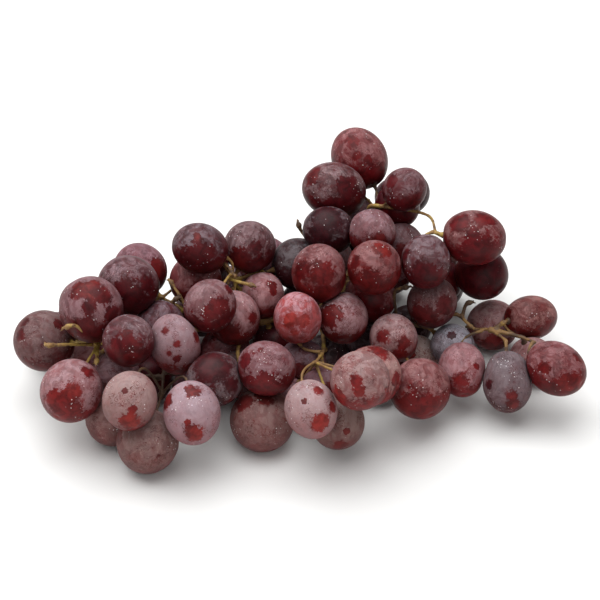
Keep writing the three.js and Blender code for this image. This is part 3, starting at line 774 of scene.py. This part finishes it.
def paint(outward, berry, spots, draw):
    """The skin and the wax on one berry, at each of its outward directions."""
    colour, wax, bloom, bare_below, glow, unevenness = LOOKS[berry.look]
    height = outward[:, 2]
    # The bare, darker underside: partly rubbed bloom, partly painted shade
    field = (bare_below - height) * LOW_EDGE
    glows = np.full(len(outward), glow * draw.uniform(*LOW_GLOW))
    marks = []
    for spot in spots:
        right, up, size, light = (number / 100 for number in spot)
        marks.append((seen_direction(right, up), size, light))
    for _ in range(BACK_SPOTS):
        direction = unit(draw.normal(size=3) + AHEAD)
        unseen = not berry.shown or direction @ AHEAD > BACK_SIDE
        size = draw.uniform(*BACK_SIZES) if unseen else NO_SIZE
        marks.append((direction, size, glow * draw.uniform(0, BACK_GLOW)))
    for direction, size, light in marks:
        inside = 1 - np.arccos(np.clip(outward @ direction, -1, 1)) / size
        glows += (light - glows) * np.clip(inside * SPOT_EDGE + 0.5, 0, 1)
        field = np.maximum(field, inside)
    tones = colour * draw.uniform(*SKIN_TONES, 1)
    # The bloom thins towards the bottom, so the lower side is darker: partly painted shade
    amount = bloom * np.clip(WAIST_BLOOM + BLOOM_RISE * height, LEAST_BLOOM, 1)
    # frost is painted sheen: the wax is drawn lighter and cooler towards the top, where it reflects
    # the sky
    frost = np.outer(np.clip(height, 0, 1) ** 2, PAINTED_TOP_SHEEN)
    return {
        "skin": np.column_stack([np.tile(tones, (len(outward), 1)), glows]),
        "wax": np.column_stack([wax * draw.uniform(*WAX_TONES, 3) * (1 + frost), amount]),
        "rubbed_and_shaded": field,
        "patchy": np.full(len(outward), unevenness),
    }


def seen_direction(right, up):
    """The direction from a berry's centre to the point that the photograph shows there."""
    return ACROSS * right + UPWARD * up - AHEAD * math.sqrt(max(1 - right**2 - up**2, 0))


def tube(points, radii, sides):
    """A closed tube with rounded ends round a line of points."""
    along = np.gradient(points, axis=0)
    along /= np.linalg.norm(along, axis=1)[:, None]
    side = basis(along[0])[0]
    turn = np.arange(sides) * 2 * math.pi / sides
    rings = []
    for point, direction, radius in zip(points, along, radii):
        side = unit(side - direction * (side @ direction))
        other = np.cross(direction, side)
        circle = np.outer(np.cos(turn), side) + np.outer(np.sin(turn), other)
        rings.append(point + radius * circle)
    start = points[0] - along[0] * radii[0] * END_BULGE
    end = points[-1] + along[-1] * radii[-1] * END_BULGE
    return np.vstack([start[None], *rings, end[None]]), ring_faces(sides, len(rings))


def smooth_line(corners):
    """Evenly spaced points through the corners of a line, about a step apart."""
    corners = np.asarray(corners, float)
    length = np.linalg.norm(np.diff(corners, axis=0), axis=1).sum()
    return curve_points(corners, max(int(length / TUBE_STEP), FEWEST_PIECES))


class Stem:
    """Collects the tubes of the branching stem, with how brown each part of it is."""

    def __init__(self):
        self.corners = []
        self.faces = []
        self.samples = []
        self.draw = np.random.default_rng(SEED)

    def collect(self, points, radii, sides):
        """Keeps the corners and faces of one tube."""
        corners, faces = tube(points, radii, sides)
        start = sum(len(c) for c in self.corners)
        self.corners.append(corners)
        self.faces += [tuple(start + i for i in face) for face in faces]

    def add(self, points, radii, brown):
        """One tube, slightly knobbly."""
        run = np.arange(len(points)) * TUBE_STEP
        uneven = 1.0
        for (share, pitch), wave in zip(KNOBS, self.draw.uniform(0, 2 * math.pi, len(KNOBS))):
            uneven = uneven + share * np.sin(run * pitch + wave)
        self.collect(points, radii * uneven, TUBE_SIDES)
        self.samples += [(point, brown) for point in points]

    def warts(self, points, count, spread, radius, brown):
        """Small warts scattered along a line."""
        for _ in range(count):
            spot = points[self.draw.integers(len(points))] + unit(self.draw.normal(size=3)) * spread
            self.wart(spot, radius * self.draw.uniform(0.8, 1.2), brown)

    def wart(self, centre, radius, brown):
        """A small round wart."""
        height = np.linspace(-WART_SPAN, WART_SPAN, WART_RINGS) * radius
        points = centre + height[:, None] * unit(self.draw.normal(size=3))
        self.collect(points, np.sqrt(radius**2 - height**2), WART_SIDES)
        self.samples.append((centre, brown))


def stalk_line(berry):
    """The middle line of a berry's stalk, from its branch into the berry's dimple."""
    mouth = berry.half_length * FACET_GAIN - DIMPLE
    end = berry.centre + berry.axis * (mouth + CLEARANCE)
    bend = end + berry.axis * np.linalg.norm(end - berry.branch) / STALK_BEND
    outwards = unit(bend - berry.branch)
    root = berry.branch + outwards * (ARM_RADIUS - ROOT_DEPTH)
    length = np.linalg.norm(bend - root) + np.linalg.norm(end - bend)
    pieces = max(int(length / TUBE_STEP), FEWEST_STALK_PIECES)
    t = np.linspace(0, 1, pieces + 1)[:, None]
    if not berry.shown:
        return root + (end - root) * t
    return (1 - t) ** 2 * root + 2 * t * (1 - t) * bend + t**2 * end


def add_stalk(stem, berry):
    """A stalk: thick at its root, slim, then flared into the pad that holds the berry."""
    points = stalk_line(berry)
    into = berry.centre + berry.axis * (berry.half_length - DIMPLE - PAD_DEPTH)
    points = np.vstack([points, into])
    run = np.concatenate([[0], np.cumsum(np.linalg.norm(np.diff(points, axis=0), axis=1))])
    left = run[-1] - run
    root = STALK_SWELL * np.exp(-run / STALK_SWELL_REACH)
    pad = PAD_SWELL * np.exp(-((left / PAD_REACH) ** 2))
    brown = SPRAYS[berry.spray]["brown"]
    stem.add(points, STALK_WAIST + root + pad, brown + stem.draw.uniform(*STALK_TINTS))
    outer_half = points[len(points) // 2 :]
    stem.warts(outer_half, count=3, spread=0.6, radius=0.42, brown=brown + 0.35)


def add_stub(stem, corners, roots, brown):
    """A bare stub: it swells to a warty end with a few torn threads."""
    places = [seen_at(*corner) for corner in corners]
    root = min(roots, key=lambda point: np.linalg.norm(point - places[0]))
    if np.linalg.norm(root - places[0]) < NEAR_ROOT:
        places = places[1:]
    points = smooth_line([root, *places])
    run = np.arange(len(points)) * TUBE_STEP
    left = run[-1] - run
    swell = STUB_SWELL * np.exp(-run / STUB_SWELL_REACH)
    knob = STUB_KNOB * np.exp(-((left - KNOB_FROM_END) ** 2))
    stem.add(points, STUB_WAIST + swell + knob, brown)
    stem.warts(points[-5:], count=8, spread=0.8, radius=0.45, brown=brown + 0.4)
    stem.warts(points, count=len(points) // 3, spread=0.6, radius=0.4, brown=brown + 0.3)
    end, ahead = points[-1], unit(points[-1] - points[-3])
    for _ in range(THREADS):
        aside = stem.draw.normal(size=3) * THREAD_FRAY
        tip = end + unit(ahead + aside) * stem.draw.uniform(*THREAD_LENGTHS)
        thread = end + (tip - end) * np.linspace(0, 1, THREAD_CORNERS)[:, None]
        stem.add(thread, np.linspace(*THREAD_RADII, THREAD_CORNERS), brown + 0.3)


def build_stem(berries, bark):
    """The branching stem as one knobbly skin."""
    stem = Stem()
    line = smooth_line(MAIN_STEM)
    count = len(line)
    radii = np.interp(np.arange(count), [0, count * MAIN_SHOULDER, count - 1], MAIN_TAPER)
    stem.add(line, radii, MAIN_BROWN)
    for rows in SPRAYS.values():
        brown = rows["brown"]
        for arm in rows["arms"]:
            line = smooth_line(arm)
            count = len(line)
            radii = np.interp(np.linspace(0, 1, count), [0, ARM_SHOULDER, 1], ARM_TAPER)
            stem.add(line, radii, brown)
            spread = radii.mean() * WART_SEAT
            stem.warts(line, count=count // 3, spread=spread, radius=0.42, brown=brown + 0.3)
    for berry in berries:
        add_stalk(stem, berry)
    roots = [p for rows in SPRAYS.values() for arm in rows["arms"] for p in rod_points(arm)]
    for brown, *corners in STUBS:
        add_stub(stem, corners, roots, brown)
    rough = build_mesh("rough_stem", np.vstack(stem.corners) + CENTRING, stem.faces)
    fuse = rough.modifiers.new("fuse", "REMESH")
    fuse.mode = "VOXEL"
    fuse.voxel_size = SKIN_VOXEL * MM
    relax = rough.modifiers.new("relax", "SMOOTH")
    relax.factor = 0.5
    relax.iterations = 2
    evaluated = rough.evaluated_get(bpy.context.evaluated_depsgraph_get())
    shape = bpy.data.meshes.new_from_object(evaluated)
    bpy.data.objects.remove(rough)
    shape.shade_smooth()
    piece = add_object("grape_stem", shape)
    tree = kdtree.KDTree(len(stem.samples))
    for i, (point, _) in enumerate(stem.samples):
        tree.insert(Vector((point + CENTRING) * MM), i)
    tree.balance()
    browns = [stem.samples[tree.find(v.co)[1]][1] for v in shape.vertices]
    store(shape, "brown", browns)
    shape.materials.append(bark)
    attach(piece, "root")
    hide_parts("stem")


class Nodes:
    """Short ways to add and link the nodes of one material."""

    def __init__(self, name):
        self.material = bpy.data.materials.new(name)
        self.material.use_nodes = True
        self.tree = self.material.node_tree
        self.shader = self.tree.nodes["Principled BSDF"]

    def plug(self, value, socket):
        """Links a socket, or sets a plain value."""
        if isinstance(value, bpy.types.NodeSocket):
            self.tree.links.new(value, socket)
        else:
            socket.default_value = value

    def add(self, kind, inputs):
        """A new node, with its inputs linked or set."""
        node = self.tree.nodes.new(kind)
        for name, value in inputs.items():
            self.plug(value, node.inputs[name])
        return node

    def shade(self, inputs):
        """Links or sets the shader's inputs."""
        for name, value in inputs.items():
            self.plug(value, self.shader.inputs[name])

    def read(self, name):
        """The value that the mesh keeps under a name."""
        node = self.tree.nodes.new("ShaderNodeAttribute")
        node.attribute_name = name
        return node

    def noise(self, place, scale, detail=2, roughness=0.5, distortion=0.0):
        """Smooth noise from 0 to 1, with features about 1 / scale mm wide."""
        inputs = {"Vector": place, "Scale": scale, "Detail": detail}
        inputs |= {"Roughness": roughness, "Distortion": distortion}
        return self.add("ShaderNodeTexNoise", inputs).outputs["Fac"]

    def dots(self, place, scale, size, share):
        """Small round dots, one in some of the cells of a grid that is jumbled."""
        cells = self.add("ShaderNodeTexVoronoi", {"Vector": place, "Scale": scale})
        picked = self.add("ShaderNodeSeparateColor", {"Color": cells.outputs["Color"]})
        near = self.ramp(cells.outputs["Distance"], (size, size * DOT_CORE))
        chosen = self.ramp(picked.outputs["Red"], (1 - share, 1 - share + DOT_CHOICE_EDGE))
        return self.product(near, chosen)

    def math(self, operation, a, b=0.0):
        """A sum, product or other plain operation."""
        node = self.tree.nodes.new("ShaderNodeMath")
        node.operation = operation
        self.plug(a, node.inputs[0])
        self.plug(b, node.inputs[1])
        return node.outputs[0]

    def product(self, first, *others):
        """All the values multiplied."""
        for value in others:
            first = self.math("MULTIPLY", first, value)
        return first

    def less(self, *shares):
        """What is left of 1 after the product of the shares is taken away."""
        return self.math("SUBTRACT", 1.0, self.product(*shares))

    def stretch(self, place, factors):
        """The place, scaled along each axis."""
        node = self.tree.nodes.new("ShaderNodeVectorMath")
        node.operation = "MULTIPLY"
        self.plug(place, node.inputs[0])
        self.plug(factors, node.inputs[1])
        return node.outputs[0]

    def ramp(self, value, span, result=(0.0, 1.0)):
        """Goes smoothly over the result's range while the value goes over the span."""
        if span[0] > span[1]:
            span, result = span[::-1], result[::-1]
        inputs = {"Value": value, "From Min": span[0], "From Max": span[1]}
        inputs |= {"To Min": result[0], "To Max": result[1]}
        node = self.add("ShaderNodeMapRange", inputs)
        node.interpolation_type = "SMOOTHSTEP"
        return node.outputs["Result"]

    def ridges(self, noise, width):
        """Thin winding lines, where a noise passes through its middle value."""
        return self.ramp(self.math("ABSOLUTE", self.math("SUBTRACT", noise, 0.5)), width)

    def mix(self, share, first, second, kind="MIX"):
        """Mixes two colours."""
        node = self.tree.nodes.new("ShaderNodeMix")
        node.data_type = "RGBA"
        node.blend_type = kind
        self.plug(share, node.inputs["Factor"])
        self.plug(first, node.inputs["A"])
        self.plug(second, node.inputs["B"])
        return next(s for s in node.outputs if s.type == "RGBA")

    def bump(self, height, strength, distance):
        """Small relief on the shader's surface."""
        inputs = {"Height": height, "Strength": strength, "Distance": distance * MM}
        self.shade({"Normal": self.add("ShaderNodeBump", inputs).outputs["Normal"]})


def skin_material():
    """Grape skin: dark red, under a patchy wax bloom that is rubbed off in sharp-edged spots."""
    n = Nodes("grape_skin")
    place = n.read("place").outputs["Vector"]
    skin = n.read("skin")
    wax = n.read("wax")
    rubbed_and_shaded = n.read("rubbed_and_shaded").outputs["Fac"]
    patchy = n.read("patchy").outputs["Fac"]
    glow, bloom = skin.outputs["Alpha"], wax.outputs["Alpha"]

    # Where the skin is bare: ragged spots, sharp-edged here and soft there, and the underside,
    # which is partly painted shade
    wander = n.noise(place, 0.2, detail=3, roughness=0.55, distortion=0.8)
    ragged = n.noise(place, 0.9, detail=3, roughness=0.65)
    field = n.math("ADD", rubbed_and_shaded, n.ramp(wander, MOST_NOISE, (-0.25, 0.25)))
    field = n.math("ADD", field, n.ramp(ragged, MOST_NOISE, (-0.18, 0.18)))
    softness = n.ramp(n.noise(place, 0.11, detail=1), (0.38, 0.62), (0.04, 0.3))
    bare = n.ramp(n.math("DIVIDE", field, softness), (-1.0, 1.0))

    # How much wax covers it elsewhere: thin patches, long streaks, fine grain and scratches
    patches = n.noise(place, 0.15, detail=4, roughness=0.6, distortion=1.4)
    thin = n.ramp(patches, (0.56, 0.42), (0.0, 0.75))
    drawn_out = n.stretch(place, (1, 1, 0.3))
    streaks = n.noise(drawn_out, 0.5, detail=3, roughness=0.6, distortion=0.8)
    lines = n.ramp(streaks, (0.58, 0.36), (0.0, 0.5))
    grain = n.ramp(n.noise(place, 2.4, detail=3, roughness=0.7), MOST_NOISE, (0.88, 1.0))
    cover = n.product(bloom, grain, n.less(patchy, thin), n.less(patchy, lines))
    winding = n.noise(place, 0.42, detail=3, roughness=0.6, distortion=2.0)
    scratched = n.ramp(n.noise(place, 0.13), (0.53, 0.58))
    marks = n.product(n.ridges(winding, (0.032, 0.008)), scratched)
    cover = n.product(cover, n.less(bare, 0.96), n.less(marks, 0.9))

    # The colour: skin with a painted glow, wax, swirls of thick wax, dark specks and painted glints
    # on the wax
    # Painted glow: where the skin is bare it turns red-orange, as if light shone through it
    ember = n.product(glow, bare, n.ramp(n.noise(place, 0.2), (0.3, 0.6), (0.3, 1.0)))
    warm = n.mix(ember, skin.outputs["Color"], EMBER)
    cloud = n.noise(place, 0.25, detail=4, roughness=0.6, distortion=0.6)
    warm = n.mix(1.0, warm, n.ramp(cloud, MOST_NOISE, (0.55, 1.35)), "MULTIPLY")
    colour = n.mix(cover, warm, wax.outputs["Color"])
    swirl = n.ridges(n.noise(place, 0.2, distortion=3.0), (0.035, 0.0))
    swirl = n.product(swirl, n.ramp(n.noise(place, 0.1, detail=1), (0.5, 0.6)), cover, patchy)
    thick = n.mix(1.0, wax.outputs["Color"], THICK_WAX, "MULTIPLY")
    colour = n.mix(n.product(swirl, 0.8), colour, thick)
    specks = n.dots(place, scale=0.5, size=0.14, share=0.3)
    colour = n.mix(n.product(specks, 0.75), colour, DARK_SPECK)
    # Painted glints: pale points of light off the bloom, in clusters, mostly on the upper side
    cluster = n.ramp(n.noise(place, 0.12, detail=1), (0.57, 0.64))
    glints = n.product(n.dots(place, scale=0.95, size=0.23, share=0.45), cluster, bloom)
    colour = n.mix(glints, colour, PAINTED_GLINT)

    n.shade({
        "Base Color": colour,
        "Roughness": n.ramp(cover, (0.05, 0.7), (BARE_ROUGHNESS, WAX_ROUGHNESS)),
        "Specular IOR Level": 0.14,
        "Subsurface Weight": 0.15,
        "Subsurface Radius": (1.0, 0.25, 0.15),
        "Subsurface Scale": 2.5 * MM,
    })
    pores = n.noise(place, 0.8, detail=3, roughness=0.6)
    n.bump(n.math("ADD", pores, n.product(cover, 0.4)), strength=0.25, distance=0.25)
    return n.material


def bark_material():
    """Stem: yellow-green where fresh, tan to dark brown where dry, with corky flecks."""
    n = Nodes("grape_bark")
    metres = n.tree.nodes.new("ShaderNodeTexCoord").outputs["Object"]
    place = n.stretch(metres, (1 / MM, 1 / MM, 1 / MM))
    drift = n.ramp(n.noise(place, 0.09, detail=3, roughness=0.6), (0.35, 0.65), (-0.25, 0.35))
    brown = n.math("ADD", n.read("brown").outputs["Fac"], drift)
    colour = n.mix(n.ramp(brown, (0.05, 0.55)), FRESH_BARK, TAN_BARK)
    colour = n.mix(n.ramp(brown, (0.5, 1.0)), colour, DRY_BARK)
    flecks = n.ramp(n.noise(place, 1.1, detail=4, roughness=0.7), (0.56, 0.66), (0.0, 0.7))
    colour = n.mix(flecks, colour, CORK)
    roughness = n.ramp(n.noise(place, 1.5), MOST_NOISE, (0.5, 0.75))
    n.shade({"Base Color": colour, "Roughness": roughness})
    n.bump(n.noise(place, 1.8, detail=3, roughness=0.65), strength=0.5, distance=0.25)
    return n.material


def add_floor():
    """A plain pale floor, far wider than the bunch."""
    half = FLOOR_HALF / MM
    corners = [(-half, -half, 0), (half, -half, 0), (half, half, 0), (-half, half, 0)]
    floor = build_mesh("floor", corners, [(0, 1, 2, 3)])
    paper = Nodes("floor_paper")
    paper.shade({"Base Color": PAPER, "Roughness": PAPER_ROUGHNESS})
    floor.data.materials.append(paper.material)


def add_camera():
    """The photograph's camera."""
    camera = bpy.data.cameras.new("camera")
    camera.lens = 144
    camera.sensor_width = 36
    camera.clip_start = 0.05
    camera.clip_end = 20
    holder = add_object("camera", camera)
    holder.location = (EYE + CENTRING) * MM
    holder.rotation_euler = (math.pi / 2 - VIEW_TILT, 0, 0)
    bpy.context.scene.camera = holder


def add_light(name, place, width, power):
    """A large soft lamp that faces the bunch."""
    lamp = bpy.data.lights.new(name, "AREA")
    lamp.size = width
    lamp.energy = power
    holder = add_object(name, lamp)
    holder.location = place
    aim = LAMP_TARGET - Vector(place)
    holder.rotation_euler = aim.to_track_quat("-Z", "Y").to_euler()


def add_world():
    """Even white light from all round."""
    world = bpy.data.worlds.new("studio")
    world.use_nodes = True
    background = world.node_tree.nodes["Background"]
    background.inputs["Color"].default_value = (1, 1, 1, 1)
    background.inputs["Strength"].default_value = WORLD_STRENGTH
    bpy.context.scene.world = world


add_camera()
add_floor()
add_world()
for name, (place, width, power) in LAMPS.items():
    add_light(name, place, width, power)
bpy.context.scene.view_settings.view_transform = "Standard"

berries = place_berries()
settle(berries)
for berry in berries:
    orient(berry, berries)
skin = skin_material()
for spray in SPRAYS:
    build_spray(spray, berries, skin)
build_stem(berries, bark_material())
